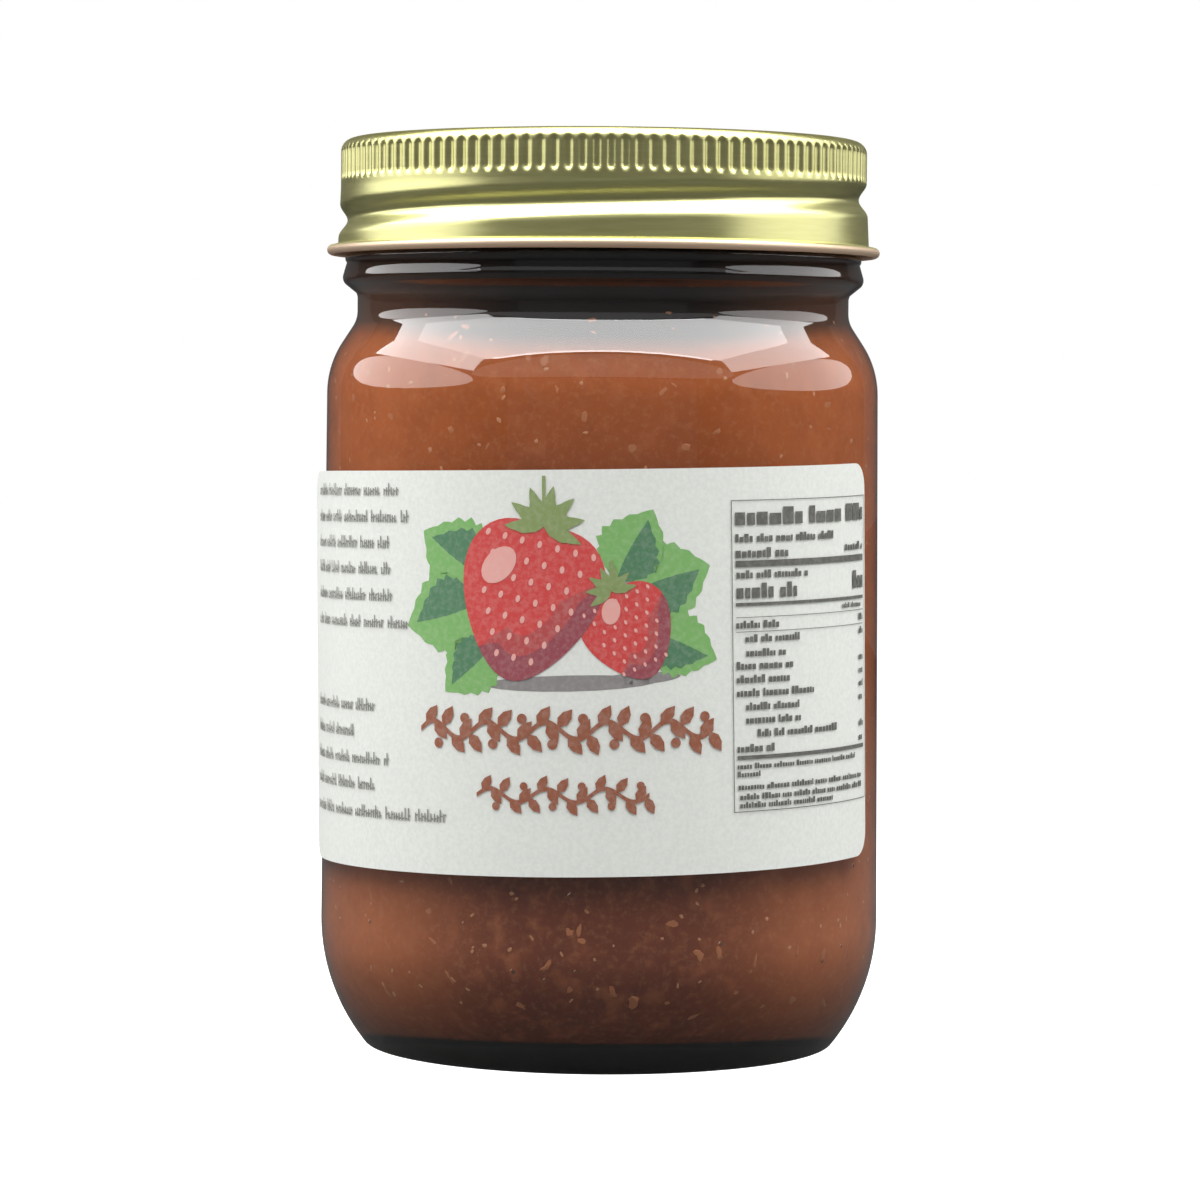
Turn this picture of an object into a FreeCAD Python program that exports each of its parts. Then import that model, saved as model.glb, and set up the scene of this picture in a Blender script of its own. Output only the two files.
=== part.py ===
"""A jar of salsa: a round glass jar, the salsa in it, its wrap-round paper label and its one-piece screw lid.

Millimetres, +Z up. The origin is the middle of the circle that the jar stands on, and the front of the
label faces -Y. The jar stands on a flat ring. Each piece is one solid in a node of its own.
"""

import FreeCAD
import Part
import math
import os

# Glass jar, outside, from the table up
rim_height = 118.4
body_radius_low = 36.85
body_taper = 0.5
bearing_ring_width = 2.2814
bearing_edge_round = 1.0
push_up_rise = 2.0
heel_height = 16.65
heel_round = 25.95
shoulder_round = 12.25
shoulder_slope = 33.0
shoulder_foot_round = 3.65
shoulder_width = 3.95

# Neck, transfer bead and the small lobe above it: depths below the rim, and reaches beyond the neck
neck_below_rim = 21.75
bead_below_rim = 17.35
bead_reach = 1.95
bead_round = 1.2
bead_under_slope = 54.0
bead_over_slope = 15.0
lobe_below_rim = 14.85
lobe_reach = 1.65
lobe_round = 0.75

# Screw finish and rim
finish_reach = 0.05
finish_wall = 2.85
rim_outer_round = 1.1
rim_inner_round = 0.7
glass_thread_round = 1.3
glass_thread_turns = 1.25
thread_pitch = 6.35

# Glass jar, inside
body_wall = 2.5
floor_edge_height = 4.9
floor_middle_rise = 1.2
inner_heel_round = 11.75
headspace = 9.0

# Lid, of lacquered tinplate: reaches beyond the finish, the lid's side and its skirt
lid_wall = 0.3
lid_seal_thickness = 0.8
lid_corner_round = 1.6
lid_reach = 2.2
lid_panel_inset = 2.75
lid_panel_drop = 0.7
skirt_reach = 0.35
skirt_below_rim = 12.65
curl_reach = 1.65
curl_round = 0.65
curl_below_rim = 13.75

# Knurled band of the lid
flute_count = 122
flute_round = 0.6
flute_depth = 0.35
flute_foot_below_rim = 4.7
flute_head_below_rim = 0.3
knurl_wall = 0.75
knurl_band_below_rim = 5.3

# Rolled thread of the lid
groove_below_rim = 8.35
groove_round = 1.6
groove_depth = 1.1
groove_longest_start = -175.0
groove_longest_end = 150.0
groove_foot_margin = 1.2
groove_head_margin = 0.4
thread_clearance = 0.1

# Paper label, a stock sheet that is cut down where the body's straight stretch is too short for it
label_thickness = 0.15
label_width = 101.6
label_stock_height = 50.8
label_foot_margin = 8.95
label_head_margin = 9.0
label_corner_round = 3.175
label_middle_angle = -10.8
label_tilt = 1.0

# Sizes that follow from those above
body_radius_high = body_radius_low - body_taper
neck_radius = body_radius_high - shoulder_width
neck_foot_height = rim_height - neck_below_rim
bead_radius = neck_radius + bead_reach
bead_height = rim_height - bead_below_rim
lobe_radius = neck_radius + lobe_reach
lobe_height = rim_height - lobe_below_rim
finish_radius = neck_radius + finish_reach
bore_radius = finish_radius - finish_wall
lid_radius = finish_radius + lid_reach
lid_panel_radius = bore_radius - lid_panel_inset
skirt_radius = lid_radius + skirt_reach
skirt_foot = rim_height - skirt_below_rim
curl_radius = skirt_radius + curl_reach
curl_height = rim_height - curl_below_rim
knurl_band_foot = rim_height - knurl_band_below_rim
flute_foot = rim_height - flute_foot_below_rim
flute_head = rim_height - flute_head_below_rim
groove_middle = rim_height - groove_below_rim

# The rolled thread runs on at each end only as far as the skirt has room for it
groove_turn = 360 / thread_pitch
groove_first_start = (skirt_foot + groove_foot_margin - groove_middle) * groove_turn
groove_last_end = (knurl_band_foot - groove_head_margin - groove_middle) * groove_turn
groove_start_angle = max(groove_longest_start, groove_first_start)
groove_end_angle = min(groove_longest_end, groove_last_end)

axis_foot = FreeCAD.Vector(0, 0, 0)
up = FreeCAD.Vector(0, 0, 1)


def on_side(radius, height):
    """A point of a side profile, which lies in the XZ plane."""
    return FreeCAD.Vector(radius, 0, height)


def on_circle(middle, radius, angle):
    """The point of a profile circle at an angle in degrees, 0 pointing away from the jar's axis."""
    turn = math.radians(angle)
    return middle + FreeCAD.Vector(radius * math.cos(turn), 0, radius * math.sin(turn))


def bow(middle, radius, first_angle, last_angle):
    """A round stretch of a profile, as its first, middle and last points."""
    angles = (first_angle, (first_angle + last_angle) / 2, last_angle)
    return [on_circle(middle, radius, angle) for angle in angles]


def turned(outline):
    """The solid that an outline makes when it is turned round the jar's axis.

    The outline is a closed list of corner points, and of round stretches as bow gives them.
    """
    edges = []
    here = outline[0]
    for step in outline[1:] + outline[:1]:
        first = step[0] if isinstance(step, list) else step
        if (first - here).Length > 1e-6:
            edges.append(Part.LineSegment(here, first).toShape())
        if isinstance(step, list):
            edges.append(Part.Arc(*step).toShape())
            first = step[-1]
        here = first
    return Part.Face(Part.Wire(edges)).revolve(axis_foot, up, 360)


def body_radius(height):
    """The jar's outside radius between its heel and its shoulder, where it tapers very slightly."""
    share = (height - heel_height) / (shoulder_start - heel_height)
    return body_radius_low + share * (body_radius_high - body_radius_low)


def shoulder_drop(top_radius, foot_radius, top_round, foot_round):
    """How far below its upper end a shoulder starts: two round stretches and a straight one between."""
    slope = math.radians(shoulder_slope)
    rounds = top_round + foot_round
    straight = (top_radius - foot_radius - rounds * (1 - math.cos(slope))) / math.tan(slope)
    return rounds * math.sin(slope) + straight


def shoulder(top_radius, foot_radius, top_round, foot_round):
    """The two round stretches of a shoulder that ends on the neck."""
    start = neck_foot_height - shoulder_drop(top_radius, foot_radius, top_round, foot_round)
    convex = on_side(top_radius - top_round, start)
    concave = on_side(foot_radius + foot_round, neck_foot_height)
    return [
        bow(convex, top_round, 0, shoulder_slope),
        bow(concave, foot_round, 180 + shoulder_slope, 180),
    ]


shoulder_start = neck_foot_height - shoulder_drop(
    body_radius_high, neck_radius, shoulder_round, shoulder_foot_round
)
label_room = shoulder_start - heel_height - label_foot_margin - label_head_margin
label_height = min(label_stock_height, label_room)
label_middle_height = heel_height + label_foot_margin + label_height / 2


def inside_rounds():
    """The round stretches of the jar's inside, from the rim's height down to the floor."""
    inner_high = body_radius_high - body_wall
    inner_low = body_radius_low - body_wall
    falling = shoulder(inner_high, bore_radius, shoulder_round - body_wall, shoulder_foot_round + body_wall)
    rounds = [stretch[::-1] for stretch in falling[::-1]]
    heel_middle = on_side(inner_low - inner_heel_round, floor_edge_height + inner_heel_round)
    rounds.append(bow(heel_middle, inner_heel_round, 0, -90))
    floor_edge = inner_low - inner_heel_round
    floor_round = (floor_edge**2 + floor_middle_rise**2) / (2 * floor_middle_rise)
    floor_middle = on_side(0, floor_edge_height + floor_middle_rise)
    floor_bend = math.degrees(math.asin(floor_edge / floor_round))
    rounds.append(bow(floor_middle - up * floor_round, floor_round, 90 - floor_bend, 90))
    return rounds


# The jar stands on a flat ring, whose rounded outer edge runs into the heel
outer_heel_middle = on_side(body_radius_low - heel_round, heel_height)
edge_reach = heel_round - bearing_edge_round
edge_angle = -math.degrees(math.asin((heel_height - bearing_edge_round) / edge_reach))
edge_middle = on_circle(outer_heel_middle, edge_reach, edge_angle)
bearing_inner_radius = edge_middle.x - bearing_ring_width


def glass_outside():
    """The jar's outside, from the ring that it stands on up to the rim."""
    bead_middle = on_side(bead_radius - bead_round, bead_height)
    lobe_middle = on_side(lobe_radius - lobe_round, lobe_height)
    rim_middle = on_side(finish_radius - rim_outer_round, rim_height - rim_outer_round)
    return [
        on_side(bearing_inner_radius, 0),
        bow(edge_middle, bearing_edge_round, -90, edge_angle),
        bow(outer_heel_middle, heel_round, edge_angle, 0),
        *shoulder(body_radius_high, neck_radius, shoulder_round, shoulder_foot_round),
        bead_foot(bead_middle),
        bow(bead_middle, bead_round, -bead_under_slope, bead_over_slope),
        bow(lobe_middle, lobe_round, -45, 90),
        on_side(finish_radius, lobe_height + lobe_round),
        bow(rim_middle, rim_outer_round, 0, 90),
    ]


def bead_foot(bead_middle):
    """Where the bead's slanting underside meets the neck."""
    under = math.radians(bead_under_slope)
    slant = on_circle(bead_middle, bead_round, -bead_under_slope)
    return on_side(neck_radius, slant.z - (slant.x - neck_radius) / math.tan(under))


def coil(radius, middle_height, pitch, first_angle, last_angle, round_radius):
    """A round bar along a right-hand screw line, with a ball at each end.

    Angles are in degrees round the jar, 0 at the front and growing to the right, and middle_height is
    the bar's height at the front.
    """
    turns = (last_angle - first_angle) / 360
    path = Part.makeHelix(pitch, pitch * turns, radius)
    start = path.Edges[0].valueAt(path.Edges[0].FirstParameter)
    heading = path.Edges[0].tangentAt(path.Edges[0].FirstParameter)
    ring = Part.Wire(Part.makeCircle(round_radius, start, heading))
    bar = Part.Wire(path.Edges).makePipeShell([ring], True, True)
    end = path.Edges[-1].valueAt(path.Edges[-1].LastParameter)
    bar = bar.fuse([Part.makeSphere(round_radius, place) for place in (start, end)])
    bar.rotate(axis_foot, up, first_angle - 90)
    bar.translate(up * (middle_height + pitch * first_angle / 360))
    return bar


def make_glass_jar():
    """The jar: one wall turned round the axis, with the thread ridge standing on its finish."""
    rim_inside = on_side(bore_radius + rim_inner_round, rim_height - rim_inner_round)
    recess = (bearing_inner_radius**2 + push_up_rise**2) / (2 * push_up_rise)
    recess_bend = math.degrees(math.asin(bearing_inner_radius / recess))
    recess_middle = on_side(0, push_up_rise - recess)
    wall = turned(
        glass_outside()
        + [bow(rim_inside, rim_inner_round, 90, 180)]
        + inside_rounds()
        + [bow(recess_middle, recess, 90, 90 - recess_bend)]
    )
    turn = 180 * glass_thread_turns
    ridge = coil(finish_radius, glass_thread_middle, thread_pitch, -turn, turn, glass_thread_round)
    bore = Part.makeCylinder((bore_radius + finish_radius) / 2, 2 * rim_height)
    return wall.fuse(ridge.cut(bore)).Solids[0]


# The glass thread rests on the lid's inner ridge, whose bars are this far apart up and down
across = lid_radius + groove_round - groove_depth - finish_radius
apart = groove_round + lid_wall + glass_thread_round + thread_clearance
glass_thread_middle = groove_middle + math.sqrt(apart**2 - across**2)


def make_salsa():
    """The salsa: it fills the jar from the floor up to its level."""
    level = rim_height - headspace
    return turned([on_side(0, level), on_side(bore_radius, level), *inside_rounds()])


def lid_outside():
    """The lid's outside, from the middle of its panel out and down to its curled edge."""
    top = rim_height + lid_seal_thickness
    step = lid_panel_drop / 2
    corner = on_side(lid_radius - lid_corner_round, top - lid_corner_round)
    curl = on_side(curl_radius - curl_round, curl_height)
    return [
        on_side(0, top - lid_panel_drop),
        bow(on_side(lid_panel_radius, top - step), step, -90, 0),
        bow(on_side(lid_panel_radius + 2 * step, top - step), step, 180, 90),
        bow(corner, lid_corner_round, 90, 0),
        on_side(lid_radius, knurl_band_foot),
        on_side(skirt_radius, skirt_foot),
        bow(curl, curl_round, 90, -180),
    ]


def lid_inside():
    """The lid's inside, from its curled edge up and in to the middle of its panel."""
    top = rim_height + lid_seal_thickness
    knurl_inside = lid_radius - knurl_wall
    return [
        on_side(skirt_radius - lid_wall, skirt_foot),
        on_side(lid_radius - lid_wall, knurl_band_foot - lid_wall),
        on_side(knurl_inside, knurl_band_foot + lid_wall),
        on_side(knurl_inside, rim_height),
        on_side(bore_radius - thread_clearance, rim_height),
        on_side(lid_panel_radius, top - lid_panel_drop - lid_wall),
        on_side(0, top - lid_panel_drop - lid_wall),
    ]


def flute():
    """One pressed flute of the knurled band, at the front: an upright bar with a ball at each end."""
    out = lid_radius - flute_depth + flute_round
    low = FreeCAD.Vector(0, -out, flute_foot + flute_round)
    high = FreeCAD.Vector(0, -out, flute_head - flute_round)
    bar = Part.makeCylinder(flute_round, high.z - low.z, low)
    return bar.fuse([Part.makeSphere(flute_round, place) for place in (low, high)]).removeSplitter()


def make_lid():
    """The lid: a drawn cap with a rolled screw thread, a knurled band and a curled edge."""
    cap = turned(lid_outside() + lid_inside())
    groove_radius = lid_radius - groove_depth + groove_round
    groove = (groove_radius, groove_middle, thread_pitch, groove_start_angle, groove_end_angle)
    filled = turned(lid_outside() + [on_side(0, curl_height)])
    ridge = coil(*groove, groove_round + lid_wall).common(filled)
    cap = cap.fuse(ridge).cut(coil(*groove, groove_round))
    first = flute()
    flutes = []
    for number in range(flute_count):
        copy = first.copy()
        copy.rotate(axis_foot, up, 360 * number / flute_count)
        flutes.append(copy)
    return cap.cut(flutes).Solids[0]


def make_label():
    """The label: a sheet with round corners, laid on the jar's tapering body a little out of level.

    Its outline is drawn on the body's cone, whose own two measures are the angle from the front and the
    length up the cone's side.
    """
    cone = Part.Cone(up * heel_height, up * shoulder_start, body_radius_low, body_radius_high)
    middle_radius = body_radius(label_middle_height)
    half_width = label_width / 2 - label_corner_round
    half_height = label_height / 2 - label_corner_round
    tilt = math.radians(label_tilt)

    def on_cone(right, high):
        """The place on the cone of a point of the flat sheet, measured from the sheet's middle."""
        turned_right = right * math.cos(tilt) - high * math.sin(tilt)
        turned_high = right * math.sin(tilt) + high * math.cos(tilt)
        angle = math.radians(label_middle_angle) + turned_right / middle_radius
        return FreeCAD.Base.Vector2d(angle, label_middle_height - heel_height + turned_high)

    quarter = math.pi / 2
    corners = []
    for number, (right, high) in enumerate([(1, 1), (-1, 1), (-1, -1), (1, -1)]):
        middle = on_cone(right * half_width, high * half_height)
        above = middle + FreeCAD.Base.Vector2d(0, label_corner_round)
        beside = middle - FreeCAD.Base.Vector2d(label_corner_round / middle_radius, 0)
        ring = Part.Geom2d.Ellipse2d(above, beside, middle)
        first = (number - 1) * quarter + tilt
        corners.append(Part.Geom2d.ArcOfEllipse2d(ring, first, first + quarter))
    edges = []
    for corner, following in zip(corners, corners[1:] + corners[:1]):
        here = corner.value(corner.LastParameter)
        there = following.value(following.FirstParameter)
        edges += [corner.toShape(cone), Part.Geom2d.Line2dSegment(here, there).toShape(cone)]
    sheet = Part.Face(cone, Part.Wire(edges))
    return sheet.makeOffsetShape(label_thickness, 1e-4, fill=True)


solids = {
    "glass_jar": make_glass_jar,
    "salsa": make_salsa,
    "label": make_label,
    "lid": make_lid,
}

os.makedirs("parts", exist_ok=True)
for name, make in solids.items():
    make().exportStep(f"parts/{name}.step")
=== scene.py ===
"""The looks of a jar of salsa: clear glass, red salsa, a gold screw lid and a white paper label."""

import math
import random

import bmesh
import bpy
from mathutils import Matrix, Vector


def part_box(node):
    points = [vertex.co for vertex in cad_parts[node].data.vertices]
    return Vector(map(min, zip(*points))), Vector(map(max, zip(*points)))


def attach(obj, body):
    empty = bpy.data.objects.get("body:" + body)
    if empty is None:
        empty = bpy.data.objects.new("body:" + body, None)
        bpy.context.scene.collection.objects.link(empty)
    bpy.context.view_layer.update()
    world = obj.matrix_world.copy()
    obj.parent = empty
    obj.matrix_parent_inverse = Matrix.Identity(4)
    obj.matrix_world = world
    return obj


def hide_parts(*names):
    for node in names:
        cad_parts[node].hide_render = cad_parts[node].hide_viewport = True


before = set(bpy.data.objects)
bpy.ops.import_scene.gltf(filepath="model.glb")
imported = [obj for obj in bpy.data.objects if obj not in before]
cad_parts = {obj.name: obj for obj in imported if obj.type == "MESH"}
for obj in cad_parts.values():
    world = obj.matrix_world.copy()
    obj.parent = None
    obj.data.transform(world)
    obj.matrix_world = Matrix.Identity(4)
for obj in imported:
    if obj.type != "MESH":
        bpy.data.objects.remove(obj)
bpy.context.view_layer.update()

# ---------------------------------------------------------------- glass jar
# The jar is clear flint glass, blown in a mould: about 2.5 mm thick in its wall, more in its heel and
# foot. It is one wall turned round its axis, and its screw thread is a ridge moulded on its finish.

MM = 0.001
weld_gap = 0.002
same_radius = 0.01


def bow(right, high, radius, first, last, steps):
    """A round stretch of a side outline, by its middle, its radius and two angles in degrees."""
    angles = [math.radians(first + (last - first) * step / steps) for step in range(steps + 1)]
    return [(right + radius * math.cos(angle), high + radius * math.sin(angle)) for angle in angles]


def run(first, last, steps):
    """The points of a straight stretch of a side outline."""
    shares = [step / steps for step in range(steps + 1)]
    return [tuple(a + (b - a) * share for a, b in zip(first, last)) for share in shares]


def turned(outline, columns):
    """A closed shell made by wrapping a flat grid round the jar's axis along a side outline, in mm."""
    shell = bmesh.new()
    rows = len(outline) - 1
    bmesh.ops.create_grid(shell, x_segments=columns, y_segments=rows, size=0.5)
    for corner in shell.verts:
        angle = 2 * math.pi * round((corner.co.x + 0.5) * columns) / columns
        right, high = outline[round((corner.co.y + 0.5) * rows)]
        corner.co = Vector((right * math.sin(angle), -right * math.cos(angle), high)) * MM
    bmesh.ops.remove_doubles(shell, verts=shell.verts, dist=weld_gap * MM)
    bmesh.ops.recalc_face_normals(shell, faces=shell.faces)
    return shell


def finished(shell, name, material, crease=180):
    """The piece that a bmesh becomes, smooth except where it bends by more than crease degrees."""
    mesh = bpy.data.meshes.new(name)
    shell.to_mesh(mesh)
    shell.free()
    mesh.materials.append(material)
    mesh.shade_smooth()
    if crease < 180:
        mesh.set_sharp_from_angle(angle=math.radians(crease))
    piece = bpy.data.objects.new(name, mesh)
    bpy.context.scene.collection.objects.link(piece)
    return piece


def off_coil(angle, high, middle, pitch, first, last):
    """How far a point of the wall lies from a screw line that runs between two angles, in millimetres."""
    gaps = []
    for lap in (-360, 0, 360):
        along = min(max(angle + lap, first), last)
        aside = math.radians(angle + lap - along) * finish_radius
        gaps.append(math.hypot(high - middle - pitch * along / 360, aside))
    return min(gaps)


class Shade:
    """A socket of a material's node tree. Sums with numbers or other sockets add Math nodes."""

    def __init__(self, tree, socket=None):
        self.tree = tree
        self.socket = socket

    def node(self, kind, settings=None, sockets=None, out=0):
        """A new node, with its settings made first and then its sockets filled or linked."""
        made = self.tree.nodes.new("ShaderNode" + kind)
        for name, value in (settings or {}).items():
            setattr(made, name, value)
        for name, value in (sockets or {}).items():
            if isinstance(value, Shade):
                self.tree.links.new(value.socket, made.inputs[name])
            else:
                made.inputs[name].default_value = value
        return Shade(self.tree, made.outputs[out] if made.outputs else None)

    def math(self, operation, *values):
        return self.node("Math", {"operation": operation}, dict(enumerate(values)))

    def __add__(self, other):
        return self.math("ADD", self, other)

    def __sub__(self, other):
        return self.math("SUBTRACT", self, other)

    def __rsub__(self, other):
        return self.math("SUBTRACT", other, self)

    def __mul__(self, other):
        return self.math("MULTIPLY", self, other)

    def __abs__(self):
        return self.math("ABSOLUTE", self)

    __radd__ = __add__
    __rmul__ = __mul__

    def axis(self, name):
        """One of the numbers X, Y and Z of a place."""
        return self.node("SeparateXYZ", {}, {0: self}, out=name)

    def noise(self, scale, detail, roughness=0.5, distortion=0.0):
        """A cloudy pattern from 0 to 1 over a place, finer as its scale grows."""
        spread = {"Scale": scale, "Detail": detail, "Roughness": roughness, "Distortion": distortion}
        return self.node("TexNoise", {}, {"Vector": self, **spread})

    def ramp(self, low, high):
        """0 up to the value low, 1 from the value high, and smooth between."""
        settings = {"interpolation_type": "SMOOTHSTEP"}
        return self.node("MapRange", settings, {"Value": self, "From Min": low, "From Max": high})

    def mixed(self, first, second):
        """The colour first where this is 0, and the colour second where it is 1."""
        # A Mix node takes its two colours at 6 and 7, and gives the mixed one at 2.
        settings = {"data_type": "RGBA", "clamp_factor": True}
        return self.node("Mix", settings, {"Factor": self, 6: first, 7: second}, out=2)

    def surface(self, sockets):
        """Gives the material its surface, by what its main shader's sockets hold."""
        self.node("OutputMaterial", {}, {"Surface": self.node("BsdfPrincipled", {}, sockets)})


def colour(code):
    """The linear colour of a six-digit screen colour."""
    parts = [int(code[place : place + 2], 16) / 255 for place in (0, 2, 4)]
    return (*[part / 12.92 if part < 0.04045 else ((part + 0.055) / 1.055) ** 2.4 for part in parts], 1.0)


def new_material(name):
    """An empty material, and the Shade that its nodes are made from."""
    material = bpy.data.materials.new(name)
    material.use_nodes = True
    material.node_tree.nodes.clear()
    return material, Shade(material.node_tree)


rim_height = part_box("glass_jar")[1].z / MM
jar_columns = 192
bearing_inner, bearing_round, push_up = 28.05, 1.0, 2.0
heel_height, heel_round = 16.65, 25.95
body_low, body_high, body_wall = 36.85, 36.35, 2.5
shoulder_round, shoulder_slope, shoulder_foot_round = 12.25, 33.0, 3.65
neck_radius, neck_start = 32.4, 96.65
bead_radius, bead_height, bead_round, bead_under, bead_over = 34.35, 101.05, 1.2, 54.0, 15.0
bead_foot_drop, bead_foot_step = 0.5, 0.15
lobe_radius, lobe_height, lobe_round = 34.05, 103.55, 0.75
finish_radius, bore_radius, rim_round, rim_inner_round = 32.45, 29.6, 1.1, 0.7
floor_edge, floor_rise, inner_heel_round = 4.9, 1.2, 11.75
thread_pitch, thread_round, thread_half_turn, thread_middle = 6.35, 1.3, 225, 112.0


def shoulder(top, foot, top_round, foot_round):
    """A shoulder: a round stretch at its top, a straight one, and a round one at its foot on the neck."""
    slope = math.radians(shoulder_slope)
    rounds = top_round + foot_round
    straight = (top - foot - rounds * (1 - math.cos(slope))) / math.tan(slope)
    start = neck_start - rounds * math.sin(slope) - straight
    convex = bow(top - top_round, start, top_round, 0, shoulder_slope, 14)
    return convex + bow(foot + foot_round, neck_start, foot_round, 180 + shoulder_slope, 180, 8)


def bearing_edge():
    """The small round between the ring that the jar stands on and its heel, and where the heel starts."""
    reach = heel_round - bearing_round
    angle = -math.degrees(math.asin((heel_height - bearing_round) / reach))
    middle = body_low - heel_round + reach * math.cos(math.radians(angle))
    return bow(middle, bearing_round, bearing_round, -90, angle, 5), angle


def jar_inside():
    """The jar's inside, from its bore down to the middle of its floor."""
    inner_low, inner_high = body_low - body_wall, body_high - body_wall
    fall = shoulder(inner_high, bore_radius, shoulder_round - body_wall, shoulder_foot_round + body_wall)
    heel = bow(inner_low - inner_heel_round, floor_edge + inner_heel_round, inner_heel_round, 0, -90, 16)
    edge = inner_low - inner_heel_round
    floor_round = (edge**2 + floor_rise**2) / (2 * floor_rise)
    bend = math.degrees(math.asin(edge / floor_round))
    return fall[::-1] + heel + bow(0, floor_edge + floor_rise - floor_round, floor_round, 90 - bend, 90, 8)


def jar_outline():
    """The whole side outline of the jar, from the middle of its underside round to that of its floor."""
    recess = (bearing_inner**2 + push_up**2) / (2 * push_up)
    bend = math.degrees(math.asin(bearing_inner / recess))
    edge, heel_angle = bearing_edge()
    bead = bow(bead_radius - bead_round, bead_height, bead_round, -bead_under, bead_over, 8)
    bead_foot = bead[0][1] - (bead[0][0] - neck_radius) / math.tan(math.radians(bead_under))
    return [
        *bow(0, push_up - recess, recess, 90, 90 - bend, 8),
        *edge,
        *bow(body_low - heel_round, heel_height, heel_round, heel_angle, 0, 20),
        *shoulder(body_high, neck_radius, shoulder_round, shoulder_foot_round),
        (neck_radius, bead_foot - bead_foot_drop),
        (neck_radius + bead_foot_step, bead_foot),
        *bead,
        *bow(lobe_radius - lobe_round, lobe_height, lobe_round, -45, 90, 8),
        *run((finish_radius, lobe_height + lobe_round), (finish_radius, rim_height - rim_round), 36),
        *bow(finish_radius - rim_round, rim_height - rim_round, rim_round, 0, 90, 6),
        *bow(bore_radius + rim_inner_round, rim_height - rim_inner_round, rim_inner_round, 90, 180, 4),
        *jar_inside(),
    ]


def glass_finish():
    """Clear glass with a bright polish. A lamp's light passes straight through it to the salsa."""
    material, shade = new_material("clear_glass")
    body = {"Base Color": colour("f6faf8"), "Roughness": 0.0, "IOR": 1.5, "Transmission Weight": 1.0}
    polish = {"Coat Weight": 1.0, "Coat Roughness": 0.02, "Coat IOR": 1.6}
    glass = shade.node("BsdfPrincipled", {}, {**body, **polish})
    clear = shade.node("BsdfTransparent", {}, {"Color": colour("f0f3f1")})
    lamp = shade.node("LightPath", out="Is Shadow Ray")
    both = shade.node("MixShader", {}, {0: lamp, 1: glass, 2: clear})
    shade.node("OutputMaterial", {}, {"Surface": both})
    return material


jar_shell = turned(jar_outline(), jar_columns)
for corner in jar_shell.verts:
    radius = math.hypot(corner.co.x, corner.co.y) / MM
    high = corner.co.z / MM
    if abs(radius - finish_radius) < same_radius and high > lobe_height + lobe_round:
        angle = math.degrees(math.atan2(corner.co.x, -corner.co.y))
        away = off_coil(angle, high, thread_middle, thread_pitch, -thread_half_turn, thread_half_turn)
        grown = 1 + math.sqrt(max(thread_round**2 - away**2, 0)) / radius
        corner.co.x, corner.co.y = corner.co.x * grown, corner.co.y * grown
jar = finished(jar_shell, "glass_wall", glass_finish(), crease=60)
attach(jar, "root")
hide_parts("glass_jar")

# -------------------------------------------------------------------- salsa
# The salsa is a smooth cooked puree of tomato, berries, onion and pepper, pressed against the glass.
# It fills the jar up into the neck, and holds pale seeds, shreds of pulp and a few bubbles of air.

salsa_level, salsa_level_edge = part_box("salsa")[1].z / MM, 1.5
reach_into_wall = 0.06
# Distances and heights in mm for the salsa's painted light, lighter at the sides and up to the shoulder, and
# its painted shade under the lid and over the foot.
side_dark, side_light = 9, 32
shoulder_light_low, shoulder_light_high = 58, 88
lid_shade_low, lid_shade_high, lid_shade_dip = 89.8, 92.8, 2
foot_shade_low, foot_shade_high, foot_shade_bow = 6.35, 6.9, 2.35
chunk_least, chunk_most = 0.78, 1.16
chunk_high = 96
bubble_thickness, bubble_proud, bubble_wall = 0.2, 0.075, 34


def salsa_outline():
    """The jar's inside as far up as the salsa's level, moved just into the glass."""
    wall = [(bore_radius, salsa_level), *jar_inside()]
    side = []
    for before, here, after in zip(wall, wall[1:], wall[2:] + wall[-1:]):
        along = Vector((after[0] - before[0], after[1] - before[1])).normalized()
        side.append((max(here[0] - along.y * reach_into_wall, 0), here[1] + along.x * reach_into_wall))
    foot = side.pop()[1]
    rights = (0, bore_radius - salsa_level_edge, bore_radius + reach_into_wall)
    return [*[(right, salsa_level) for right in rights], *side, (0, foot)]


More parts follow.
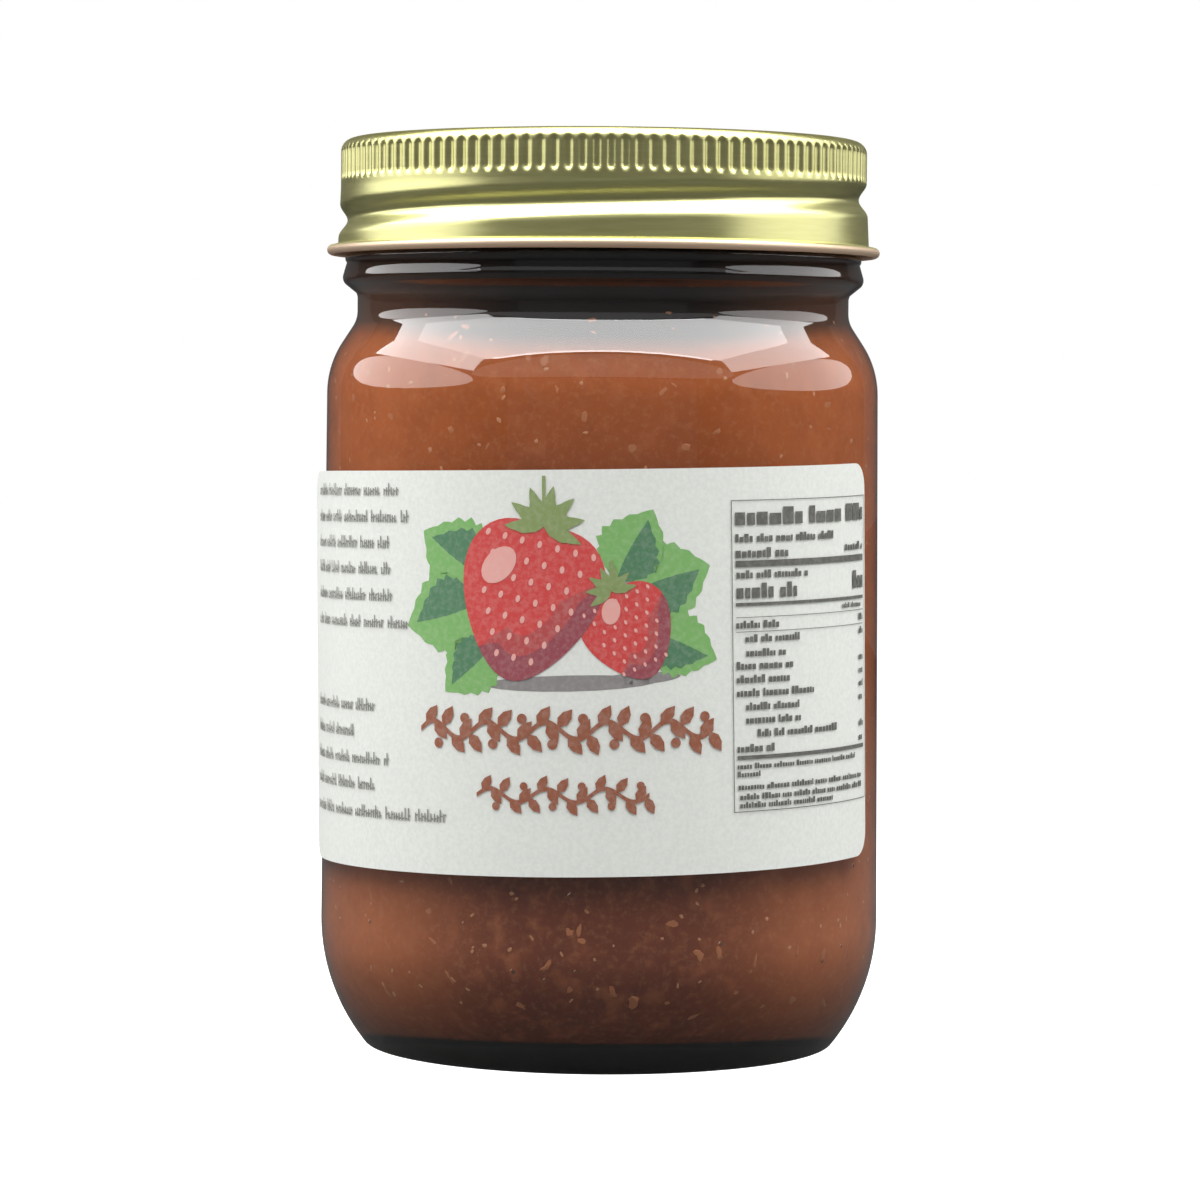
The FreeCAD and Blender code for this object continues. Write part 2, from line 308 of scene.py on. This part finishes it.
def salsa_finish():
    """Red-brown puree with painted light, lighter towards the shoulder and the sides, and painted shade, dark
    under the lid and near the foot.
    """
    material, shade = new_material("salsa_puree")
    place = shade.node("TexCoord", out="Object")
    across, deep, height = [place.axis(name) for name in "XYZ"]
    cloud, grain = place.noise(260, 3, 0.55), place.noise(1100, 4, 0.7)
    pulp = place.noise(300, 3, distortion=0.2)
    # Painted light: the salsa is lighter towards its left and right sides, as if lit through the glass there.
    side = abs(across).ramp(side_dark * MM, side_light * MM)
    low = side.mixed(colour("703926"), colour("b06640"))
    high = side.mixed(colour("9f542b"), colour("b06239"))
    # Painted light: the salsa is lighter towards the shoulder, where light comes in from above.
    body = height.ramp(shoulder_light_low * MM, shoulder_light_high * MM).mixed(low, high)
    body = (cloud.ramp(0.4, 0.7) * 0.3).mixed(body, colour("8a4a2e"))
    body = (grain.ramp(0.45, 0.8) * 0.3).mixed(body, colour("c08460"))
    body = (pulp.ramp(0.5, 0.76) * 0.4).mixed(body, colour("b36c48"))
    # Painted shade: the salsa turns dark in the neck, where the lid's shade falls. It starts a little higher
    # and is less dark at the sides.
    lid_shade = (height - side * lid_shade_dip * MM).ramp(lid_shade_low * MM, lid_shade_high * MM)
    body = lid_shade.mixed(body, side.mixed(colour("2a2524"), colour("6a4a3a")))
    # Painted shade: the salsa's bottom, over the jar's foot, is a dark grey that follows the bowl of the
    # jar's floor.
    above_foot = height + (across * across + deep * deep) * foot_shade_bow
    body = above_foot.ramp(foot_shade_low * MM, foot_shade_high * MM).mixed(colour("2e3132"), body)
    relief = shade.node("Bump", {}, {"Strength": 0.15, "Distance": 0.1 * MM, "Height": grain})
    shade.surface({"Base Color": body, "Roughness": 0.5, "Specular IOR Level": 0.1, "Normal": relief})
    return material


def plain_finish(name, code, roughness):
    """An even colour."""
    material, shade = new_material(name)
    shade.surface({"Base Color": colour(code), "Roughness": roughness})
    return material


def wall_at(high):
    """The jar's inside radius at a height, and how steeply the wall there leans in, as an angle."""
    wall = jar_inside()
    for (above_right, above), (below_right, below) in zip(wall, wall[1:]):
        if below <= high <= above and above > below:
            share = (high - below) / (above - below)
            lean = math.atan2(below_right - above_right, above - below)
            return below_right + (above_right - below_right) * share, lean
    return bore_radius, 0.0


def set_in_wall(shell, angle, high, turn, size, proud):
    """A squashed, uneven ball against the jar's inside, by its sizes and how far it stands in the glass."""
    radius, lean = wall_at(high)
    out = Vector((math.sin(angle) * math.cos(lean), -math.cos(angle) * math.cos(lean), math.sin(lean)))
    middle = Vector((radius * math.sin(angle), -radius * math.cos(angle), high)) + out * (proud - size[2] / 2)
    facing = out.to_track_quat("Z", "Y").to_matrix().to_4x4()
    matrix = Matrix.Translation(middle * MM) @ facing @ Matrix.Rotation(turn, 4, "Z")
    matrix = matrix @ Matrix.Diagonal((*[part * MM for part in size], 1))
    lump = bmesh.ops.create_icosphere(shell, subdivisions=2, radius=0.5, matrix=matrix)["verts"]
    for corner in lump:
        corner.co = middle * MM + (corner.co - middle * MM) * chance.uniform(chunk_least, chunk_most)


salsa = finished(turned(salsa_outline(), jar_columns), "salsa_body", salsa_finish())
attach(salsa, "root")
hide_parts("salsa")

chance = random.Random(11)
seeds, shreds, bubbles, glints = [bmesh.new() for _ in range(4)]
for shell, count, chunk_low, length, breadth, thickness, proud in (
    (seeds, 520, 9, (0.6, 1.2), (0.45, 0.75), 0.25, 0.1),
    (shreds, 320, 7, (0.9, 2.7), (0.4, 1.7), 0.2, 0.085),
):
    for _ in range(count):
        angle, high = chance.uniform(0, 2 * math.pi), chance.uniform(chunk_low, chunk_high)
        size = (chance.uniform(*length), chance.uniform(*breadth), thickness)
        set_in_wall(shell, angle, high, chance.uniform(0, math.pi), size, proud)
# Each bubble is a dark disc, and the small pale piece on its upper left is a painted highlight.
for _ in range(30):
    angle, high = chance.uniform(0, 2 * math.pi), chance.uniform(10, 34)
    across = chance.uniform(0.6, 1.1)
    set_in_wall(bubbles, angle, high, 0, (across, across, bubble_thickness), bubble_proud)
    glint = (across * 0.6, across * 0.25, bubble_thickness)
    set_in_wall(glints, angle - 0.3 * across / bubble_wall, high + 0.28 * across, 0.8, glint, 0.1)
for shell, name, code, roughness in (
    (seeds, "salsa_seeds", "b9805a", 0.5),
    (shreds, "salsa_shreds", "ab6840", 0.6),
    (bubbles, "salsa_bubbles", "5c3423", 0.5),
    (glints, "salsa_bubble_glints", "c39a80", 0.4),
):
    piece = finished(shell, name, plain_finish(name, code, roughness))
    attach(piece, "root")

# ---------------------------------------------------------------------- lid
# The lid is one cup of tinplate with a gold lacquer: pressed flutes to grip, a screw thread rolled in
# below them, and a raw edge curled outwards. It is screwed on and touches the glass at the rim.

lid_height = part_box("lid")[1].z / MM
lid_wall, lid_radius, lid_corner, lid_corner_inner, lid_side_depth = 0.3, 34.65, 1.6, 0.3, 0.5
panel_radius, panel_drop, panel_hub = 26.85, 0.7, 2
band_foot, band_step, skirt_radius, skirt_foot = 113.1, 0.3, 35.0, 105.45
curl_radius, curl_round, curl_height = 36.45, 0.65, 104.65
flute_count, flute_columns, flute_round, flute_depth = 122, 8, 0.6, 0.35
flute_low, flute_high = 113.7, 118.1
groove_middle, groove_reach, groove_depth, groove_first, groove_last = 110.05, 2.2, 1.1, -175, 150
groove_run_out = 30
curl_reflection_low, curl_reflection_full = 0.1, 0.7
brim_low, brim_high = 118.2, 118.9


def lid_outline():
    """The lid's side outline, from the middle of its panel out, down and round its curl, and back inside."""
    step = panel_drop / 2
    top = lid_height - panel_drop
    return [
        (0, top),
        *run((panel_hub, top), (panel_radius - 1, top), 2),
        *bow(panel_radius, lid_height - step, step, -90, 0, 3),
        *bow(panel_radius + 2 * step, lid_height - step, step, 180, 90, 3),
        *bow(lid_radius - lid_corner, lid_height - lid_corner, lid_corner, 90, 0, 8),
        *run((lid_radius, flute_high - flute_round), (lid_radius, band_foot), 15),
        *run((lid_radius, band_foot - band_step), (skirt_radius, skirt_foot), 20),
        *bow(curl_radius - curl_round, curl_height, curl_round, 115, -180, 11),
        *run((skirt_radius - lid_wall, skirt_foot), (lid_radius - lid_wall, band_foot - band_step), 20),
        (lid_radius - lid_wall - lid_corner_inner, lid_height - lid_corner),
        (panel_radius + 1, rim_height),
        (panel_radius, top - lid_wall),
        (0, top - lid_wall),
    ]


def pressed_in(corner):
    """How far the flutes and the rolled thread press a point of the lid's side in, in millimetres."""
    angle = math.degrees(math.atan2(corner.x, -corner.y))
    high = corner.z / MM
    phase = (angle * flute_count / 360) % 1 - 0.5
    aside = phase * 2 * math.pi * lid_radius / flute_count
    past = max(flute_low + flute_round - high, high - flute_high + flute_round, 0)
    apart = math.hypot(aside, past)
    flute = math.sqrt(max(flute_round**2 - apart**2, 0)) - flute_round + flute_depth
    away = off_coil(angle, high, groove_middle, thread_pitch, groove_first, groove_last)
    fade = max(min(angle - groove_first, groove_last - angle, groove_run_out), 0) / groove_run_out
    rolled = groove_depth * fade * math.cos(math.pi / 2 * min(away / groove_reach, 1)) ** 2
    return max(flute, 0) + rolled


def lid_finish():
    """Gold lacquer with a soft, slightly greenish shine, darker round the brim; the curl is rougher, less
    metal and has a painted reflection.
    """
    material, shade = new_material("gold_lacquer")
    place = shade.node("TexCoord", out="Object")
    height = place.axis("Z")
    stretched = shade.node("Mapping", {}, {"Vector": place, "Scale": (1, 1, 14)})
    drawn = stretched.noise(160, 4, 0.6).ramp(0.3, 0.7)
    # Painted reflection: the curl gets a pinkish cream, the salsa mirrored in it, and it is also rougher and
    # less metal.
    curl_painted_reflection = 1 - height.ramp((curl_height + curl_reflection_low) * MM, (curl_height + curl_reflection_full) * MM)
    film = curl_painted_reflection.mixed(drawn.mixed(colour("dfdc98"), colour("e7e4a2")), colour("e8ccb0"))
    film = (height.ramp(brim_low * MM, brim_high * MM) * 0.6).mixed(film, colour("b3ad62"))
    sheen = drawn * 0.03 + 0.28 + curl_painted_reflection * 0.12
    metal = 0.93 - curl_painted_reflection * 0.38
    shade.surface({"Base Color": film, "Metallic": metal, "Roughness": sheen, "Coat Weight": 0.1})
    return material


lid_shell = turned(lid_outline(), flute_count * flute_columns)
for corner in lid_shell.verts:
    radius = math.hypot(corner.co.x, corner.co.y) / MM
    if radius > lid_radius - lid_side_depth and corner.co.z / MM > skirt_foot:
        shrunk = 1 - pressed_in(corner.co) / radius
        corner.co.x, corner.co.y = corner.co.x * shrunk, corner.co.y * shrunk
lid = finished(lid_shell, "screw_lid", lid_finish(), crease=50)
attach(lid, "root")
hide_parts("lid")

# -------------------------------------------------------------------- label
# The label is a white paper sheet, 4 inches by 2, cut with round corners and stuck on a little out of
# level. Its left end has come away from the glass and stands off it.

label_width, label_height, label_corner, label_thickness = 101.6, 50.8, 3.175, 0.15
label_middle_height, label_middle_angle, label_tilt = 51.0, -10.8, 1.0
lift_top, lift_foot = 9.0, 5.5
first_cut = 0.7


def body_radius(high):
    """The jar's outside radius on its tapering body."""
    start = neck_start - (shoulder_round + shoulder_foot_round) * math.sin(math.radians(shoulder_slope))
    return body_low + (body_high - body_low) * (high - heel_height) / (start - heel_height)


def stuck_on(flat):
    """Where a point of the flat label, in millimetres from its middle, lies on the jar."""
    tilt = math.radians(label_tilt)
    right = flat.x * math.cos(tilt) - flat.y * math.sin(tilt)
    high = label_middle_height + flat.x * math.sin(tilt) + flat.y * math.cos(tilt)
    radius = body_radius(high)
    loose = lift_foot + (lift_top - lift_foot) * (flat.y / label_height + 0.5)
    kept = max(right, loose - label_width / 2)
    angle = math.radians(label_middle_angle) + kept / body_radius(label_middle_height)
    out = Vector((math.sin(angle), -math.cos(angle), 0))
    along = Vector((math.cos(angle), math.sin(angle), 0))
    place = out * (radius + flat.z) + along * (right - kept)
    place.z = high
    return place * MM


def laid(shell, thickness, above):
    """Gives a flat shape its thickness, cuts it into upright strips 1 mm wide and lays it round the jar."""
    bmesh.ops.triangulate(shell, faces=shell.faces)
    for number in range(int(label_width)):
        cut = number - label_width / 2 + first_cut
        everything = shell.verts[:] + shell.edges[:] + shell.faces[:]
        bmesh.ops.bisect_plane(shell, geom=everything, dist=1e-5, plane_co=(cut, 0, 0), plane_no=(1, 0, 0))
    bmesh.ops.recalc_face_normals(shell, faces=shell.faces)
    bmesh.ops.solidify(shell, geom=shell.faces[:], thickness=thickness)
    bmesh.ops.recalc_face_normals(shell, faces=shell.faces)
    low = min(corner.co.z for corner in shell.verts)
    for corner in shell.verts:
        corner.co = stuck_on(corner.co + Vector((0, 0, above - low)))
    return shell


def paper_finish():
    """Matt white paper with a faint fibre."""
    material, shade = new_material("label_paper")
    fibre = shade.node("TexCoord", out="Object").noise(1800, 3, 0.6)
    sheet = fibre.ramp(0.3, 0.7).mixed(colour("dee0db"), colour("e6e8e3"))
    relief = shade.node("Bump", {}, {"Strength": 0.2, "Distance": 0.02 * MM, "Height": fibre})
    shade.surface({"Base Color": sheet, "Roughness": 0.75, "Normal": relief})
    return material


sheet = bmesh.new()
bmesh.ops.create_grid(sheet, x_segments=1, y_segments=1, size=0.5)
bmesh.ops.scale(sheet, vec=(label_width, label_height, 1), verts=sheet.verts)
bmesh.ops.bevel(
    sheet, geom=sheet.verts[:], offset=label_corner, affect="VERTICES", segments=10, profile=0.5, material=-1
)
label = finished(laid(sheet, label_thickness, 0.0), "label_sheet", paper_finish(), crease=40)
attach(label, "root")
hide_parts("label")

# -------------------------------------------------------------------- print
# The sheet was printed before it was stuck on: a picture of strawberries, two bands of brick-red
# ornament, and grey lines that stand for handwriting and small print. Each ink is one very thin film.

film_thickness, film_step = 0.006, 0.012
berry_points, shade_first, shade_last = 56, 10, 36
wave_points, tooth_depth = 24, 0.16
pen_left, pen_height, pen_line = -47.4, 1.5, 0.2
panel_left, panel_right, panel_foot, panel_top, rule = 24.0, 50.1, -17.85, 21.25, 0.1
print_left, print_right, print_inset, heading_weight = 24.5, 49.5, 0.5, 0.9 / 0.62


def film(ink):
    """A new empty film of ink, kept with the others until all its shapes are on it."""
    films[ink] = bmesh.new()
    return films[ink]


def outlined(ink, outline):
    """Fills one outline, a list of points in millimetres from the sheet's middle."""
    ink.faces.new([ink.verts.new((right, high, 0)) for right, high in outline])


def oval(ink, right, high, width, height, turn=0.0):
    """A filled oval, turned by an angle in degrees."""
    made = bmesh.ops.create_circle(ink, cap_ends=True, segments=20, radius=0.5)["verts"]
    bmesh.ops.scale(ink, vec=(width, height, 1), verts=made)
    bmesh.ops.rotate(ink, verts=made, matrix=Matrix.Rotation(math.radians(turn), 3, "Z"))
    bmesh.ops.translate(ink, verts=made, vec=(right, high, 0))


def bar(ink, left, right, middle, height, slant=0.0):
    """A filled bar, by its two ends, its middle height and its own height."""
    pieces = max(1, round((right - left) / 0.9))
    made = bmesh.ops.create_grid(ink, x_segments=pieces, y_segments=1, size=0.5)["verts"]
    bmesh.ops.scale(ink, vec=(right - left, height, 1), verts=made)
    for corner in made:
        corner.co.y += corner.co.x * slant
    bmesh.ops.translate(ink, verts=made, vec=((left + right) / 2, middle, 0))


def small_print(ink, left, right, middle, height, weight=1.0):
    """A line of print as rows of little blocks in word lengths, taller and lower by chance."""
    here = left
    while here < right - 0.3 * height:
        word_end = min(here + height * chance.uniform(1.6, 5.0), right)
        while here < word_end - 0.2 * height:
            block = min(height * chance.uniform(0.3, 0.62) * weight, word_end - here)
            tall = height * chance.choice((0.62, 0.66, 0.7, 0.95))
            bar(ink, here, here + block, middle - height * 0.5 + tall / 2, tall)
            here += block + height * 0.13
        here += height * 0.42


def scrawl(ink, left, right, middle, height):
    """A line of handwriting's look: a thin pen line that only goes up and down, in word lengths."""
    here = left
    low = middle - height * 0.5
    while here < right - 0.4:
        word_end = min(here + chance.uniform(3.0, 6.5), right)
        while here < word_end - 0.2:
            step = chance.uniform(0.34, 0.52)
            top = height * chance.choice((0.6, 0.7, 0.7, 1.05))
            bar(ink, here, here + pen_line, low + top / 2, top)
            across = low + chance.uniform(0.1, 0.6) * height
            bar(ink, here, here + step, across, pen_line, chance.uniform(-0.5, 0.5))
            here += step + 0.06
        here += 0.75


def swung(points, right, high, turn):
    """Points turned about the sheet's middle by an angle in degrees, and then moved right and up."""
    spun = math.radians(turn)
    return [
        (right + x * math.cos(spun) - y * math.sin(spun), high + x * math.sin(spun) + y * math.cos(spun))
        for x, y in points
    ]


def berry(right, high, width, height, lean):
    """The outline of a strawberry: wide and dipped at its crown, narrow at its tip, and leaning."""
    points = []
    for step in range(berry_points):
        angle = 2 * math.pi * step / berry_points
        across = math.sin(angle) * (0.78 + 0.24 * math.cos(angle)) / 1.63
        dip = 0.1 * math.exp(-((math.sin(angle) / 0.4) ** 2)) if math.cos(angle) > 0 else 0
        points.append((across * width, (math.cos(angle) - dip) / 2 * height))
    return swung(points, right, high, lean)


def shaded_side(right, high, width, height, lean, share):
    """The outline of the lower right part of a strawberry that lies in its own shade."""
    edge = berry(right, high, width, height, lean)[shade_first:shade_last]
    return edge + [(right + (x - right) * share, high + (y - high) * share) for x, y in edge[-3:2:-1]]


def leaf(right, high, length, width, heading, share=1.0, teeth=7):
    """The outline of a leaf with a saw edge, from its stalk end in the heading given in degrees."""
    edge = []
    for step in range(teeth * 3 + 1):
        part = step / (teeth * 3)
        tooth = tooth_depth * (step % 3) / 2 * math.sin(math.pi * part)
        edge.append((part * length, width / 2 * (math.sin(math.pi * part**0.8) + tooth)))
    both = [(x, y * share) for x, y in edge] + [(x, -y) for x, y in edge[-2:0:-1]]
    return swung(both, right, high, heading)


def printed(ink, name, code, above):
    """The piece that a film of ink becomes once it lies on the stuck-on sheet."""
    material, shade = new_material(name)
    speck = shade.node("TexCoord", out="Object").noise(1500, 2, 0.6)
    tone = (speck.ramp(0.35, 0.75) * 0.1).mixed(colour(code), colour("e8e6e0"))
    shade.surface({"Base Color": tone, "Roughness": 0.6})
    piece = finished(laid(ink, film_thickness, label_thickness + above), name, material, crease=40)
    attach(piece, "root")


films = {}
chance = random.Random(7)
berries = ((-2.2, 9.4, 18.5, 21.0, -14), (10.6, 5.2, 11.6, 12.6, 24))
leaves = (
    (-8.5, 9.0, 11.5, 10.0, 196),
    (-7.5, 12.0, 11.0, 9.5, 148),
    (-6.5, 4.0, 9.5, 7.5, 222),
    (11.0, 10.0, 10.5, 9.5, 18),
    (9.0, 11.5, 10.0, 8.5, 62),
    (13.0, 5.0, 9.5, 7.5, -22),
)

shadow = film("shadow")
oval(shadow, 3.0, -1.2, 22.0, 2.0, 1)
oval(shadow, 11.5, -0.7, 11.0, 1.5, 3)

light_green, deep_green = film("light_green"), film("deep_green")
for right, high, length, width, heading in leaves:
    outlined(light_green, leaf(right, high, length, width, heading))
    outlined(deep_green, leaf(right, high, length * 0.86, width * 0.8, heading, share=0.1))

red, deep_red, dark_red, pink = film("red"), film("deep_red"), film("dark_red"), film("pink")
for right, high, width, height, lean in berries:
    outlined(red, berry(right, high, width, height, lean))
    outlined(deep_red, shaded_side(right, high, width, height, lean, 0.45))
    outlined(dark_red, shaded_side(right, high, width, height, lean, 0.7))
    oval(pink, right - width * 0.2, high + height * 0.2, width * 0.2, height * 0.26, lean - 32)
    for row in range(7):
        for column in range(-4, 5):
            across = (column + 0.5 * (row % 2)) * 0.125 * width
            up = (0.33 - row * 0.115) * height
            room = 0.5 * width * (0.80 + 0.5 * (up / height)) - 0.06 * width
            if abs(across) < room:
                [(x, y)] = swung([(across, up)], right, high, lean)
                oval(pink, x, y, 0.032 * width, 0.05 * width, lean + across * 2)

stalk = film("stalk")
for right, high, width, height, lean in berries:
    [(x, y)] = swung([(0, 0.44 * height)], right, high, lean)
    for number in range(7):
        outlined(stalk, leaf(x, y, 0.28 * width, 0.09 * width, lean + 90 + (number - 3) * 34, teeth=3))
    bar(stalk, x - 0.2, x + 0.25, y + 0.15 * height, 0.3 * height)

brick = film("brick_red")
for left, right, middle, height, waves in ((-17.3, 21.2, -7.1, 5.3, 5), (-9.1, 12.8, -15.2, 4.2, 3)):
    pitch = (right - left) / (waves * wave_points)
    swing = 0.2 * height
    steepest = swing * 2 * math.pi * waves / (right - left)
    for number in range(waves * wave_points):
        across = left + pitch * (number + 0.5)
        rise = swing * math.sin(2 * math.pi * (number + 0.5) / wave_points)
        slope = steepest * math.cos(2 * math.pi * number / wave_points)
        bar(brick, across - 0.55 * pitch, across + 0.55 * pitch, middle + rise, 0.13 * height, slope)
        if number % 4 == 2:
            heading = (1 if number % 8 == 2 else -1) * chance.uniform(48, 66)
            outlined(brick, leaf(across, middle + rise, 0.56 * height, 0.28 * height, heading, teeth=1))
        if number % 12 == 8:
            oval(brick, across, middle - 1.9 * rise - 0.1, 0.24 * height, 0.24 * height)

pen = film("pen_grey")
upper_lines = ((-21.1, 23.0), (-19.4, 19.6), (-22.7, 16.3), (-22.5, 13.0), (-22.4, 9.6), (-19.5, 6.2))
lower_lines = ((-26.1, -4.5), (-30.5, -7.9), (-22.9, -11.3), (-26.0, -14.6), (-13.4, -18.1))
for right, middle in upper_lines + lower_lines:
    scrawl(pen, pen_left, right, middle, pen_height)

grey = film("dark_grey")
panel_middle, panel_height = (panel_foot + panel_top) / 2, panel_top - panel_foot + rule
for high in (panel_top, panel_foot):
    bar(grey, panel_left, panel_right, high, rule)
for side in (panel_left, panel_right):
    bar(grey, side - rule / 2, side + rule / 2, panel_middle, panel_height)
for middle, height in ((13.3, 0.8), (8.2, 0.42), (-11.05, 0.5), (6.57, 0.08), (4.75, 0.08)):
    bar(grey, panel_left + print_inset, panel_right - print_inset, middle, height)
small_print(grey, print_left, print_right, 19.3, 2.3, heading_weight)
lines = (
    (24.5, 41.4, 16.55, 1.1),
    (24.5, 33.0, 14.7, 1.3),
    (44.3, 49.4, 14.9, 1.1),
    (24.6, 36.3, 12.0, 1.05),
    (24.6, 34.1, 9.95, 2.0),
    (46.4, 49.6, 10.6, 2.4),
    (43.5, 49.4, 7.35, 0.7),
    (24.5, 31.0, 5.7, 1.0),
    (25.8, 34.9, 3.95, 1.0),
    (25.9, 32.3, 2.15, 1.0),
    (24.5, 33.6, 0.55, 1.05),
    (24.5, 32.7, -1.15, 1.05),
    (24.5, 37.1, -2.85, 1.05),
    (25.8, 34.6, -4.6, 1.0),
    (25.8, 34.6, -6.3, 1.0),
    (27.5, 42.1, -8.0, 1.0),
    (24.5, 30.2, -9.85, 1.05),
    (24.5, 47.2, -12.1, 0.75),
    (24.5, 28.3, -13.1, 0.75),
    (24.6, 48.8, -14.7, 0.8),
    (24.8, 48.8, -15.95, 0.8),
    (24.8, 40.9, -17.0, 0.8),
)
for left, right, middle, height in lines:
    small_print(grey, left, right, middle, height)
for middle in (5.7, 3.95, 0.55, -1.15, -2.85, -4.6, -8.0, -9.85):
    small_print(grey, 48.2, print_right, middle, 0.9)

colours = {
    "shadow": "8a8686",
    "light_green": "7cb266",
    "deep_green": "4f7f5c",
    "red": "cf4442",
    "deep_red": "b64a4b",
    "dark_red": "974751",
    "pink": "e6a8a0",
    "stalk": "86995f",
    "brick_red": "96583f",
    "pen_grey": "84847f",
    "dark_grey": "5c5c58",
}
for number, (name, code) in enumerate(colours.items()):
    printed(films[name], name + "_ink", code, film_step * (number + 1))

# ------------------------------------------------------------------- studio
# A plain pale floor under a large soft lamp overhead, with softer ones at each side, in front and behind.
# The camera stands a little below the jar's shoulder, looks slightly down and leans a little.

floor_radius, side_lamp = 3.0, 0.6
camera_aside, camera_distance, eye_height, look_down, camera_lean = -0.00013, 0.588, 0.0845, 2.515, 0.4


def floor_finish():
    """A pale floor: white to look at, dark where the jar mirrors it, and grey to light off the jar."""
    material, shade = new_material("pale_floor")
    lit, dark, grey_light = [
        shade.node("BsdfPrincipled", {}, {"Base Color": colour(code), "Roughness": 0.9})
        for code in ("c8c8c6", "343434", "888886")
    ]
    pale = shade.node("Emission", {}, {"Color": colour("ffffff"), "Strength": 1.0})
    seen = shade.node("AddShader", {}, {0: lit, 1: pale})
    bounced = shade.node("LightPath", out="Diffuse Depth")
    unseen = shade.node("MixShader", {}, {0: bounced, 1: dark, 2: grey_light})
    looked_at = shade.node("LightPath", out="Is Camera Ray")
    both = shade.node("MixShader", {}, {0: looked_at, 1: unseen, 2: seen})
    shade.node("OutputMaterial", {}, {"Surface": both})
    return material


def softbox(name, middle, facing, width, height, brightness, shape="RECTANGLE"):
    """A soft flat lamp, by its middle, the way it faces, its size and the brightness of its face."""
    lamp = bpy.data.lights.new(name, "AREA")
    lamp.shape, lamp.size, lamp.size_y = shape, width, height
    area = width * height * (math.pi / 4 if shape == "ELLIPSE" else 1)
    lamp.energy = brightness * math.pi * area
    holder = bpy.data.objects.new(name, lamp)
    holder.location = middle
    holder.rotation_euler = Vector(facing).to_track_quat("-Z", "Y").to_euler()
    holder.visible_camera = False
    bpy.context.scene.collection.objects.link(holder)


floor_shell = bmesh.new()
bmesh.ops.create_circle(floor_shell, cap_ends=True, segments=96, radius=floor_radius)
floor_mesh = bpy.data.meshes.new("floor")
floor_shell.to_mesh(floor_mesh)
floor_shell.free()
floor_mesh.materials.append(floor_finish())
floor = bpy.data.objects.new("floor", floor_mesh)
bpy.context.scene.collection.objects.link(floor)

softbox("ceiling", (0, -0.1, 0.61), (0, 0, -1), 1.2, 0.64, 4.8)
softbox("ceiling_edge", (0, -0.43, 0.605), (0, 0, -1), 1.1, 0.03, 8.0)
softbox("front_high", (0, -0.78, 0.6), (0, 1, -0.75), 2.4, 0.46, 0.33, "ELLIPSE")
softbox("front_level", (0, -1.0, 0.18), (0, 1, 0), 1.6, 0.5, 0.06)
softbox("back", (0, 0.9, 0.3), (0, -1, 0), 1.6, 0.6, 0.04)
for side, name, share in ((-1, "left", 1.12), (1, "right", 0.9)):
    softbox(name + "_high", (side * side_lamp, -0.02, 0.5), (-side, 0, 0), 0.76, 0.22, 3.4 * share)
    softbox(name + "_low", (side * side_lamp, 0.03, 0.262), (-side, 0, 0), 0.92, 0.27, 1.7 * share, "ELLIPSE")

world = bpy.data.worlds.new("studio")
bpy.context.scene.world = world
world.use_nodes = True
world.node_tree.nodes.clear()
room = Shade(world.node_tree)
backdrop = room.node("LightPath", out="Is Camera Ray").mixed(colour("343434"), colour("ffffff"))
room.node("OutputWorld", {}, {"Surface": room.node("Background", {}, {"Color": backdrop})})
bpy.context.scene.view_settings.view_transform = "Standard"

lens = bpy.data.cameras.new("camera")
lens.lens, lens.sensor_width = 133.2, 36.0
camera = bpy.data.objects.new("camera", lens)
camera.location = (camera_aside, -camera_distance, eye_height)
camera.rotation_euler = (math.radians(90 - look_down), 0, 0)
camera.rotation_euler.rotate_axis("Z", math.radians(camera_lean))
bpy.context.scene.collection.objects.link(camera)
bpy.context.scene.camera = camera
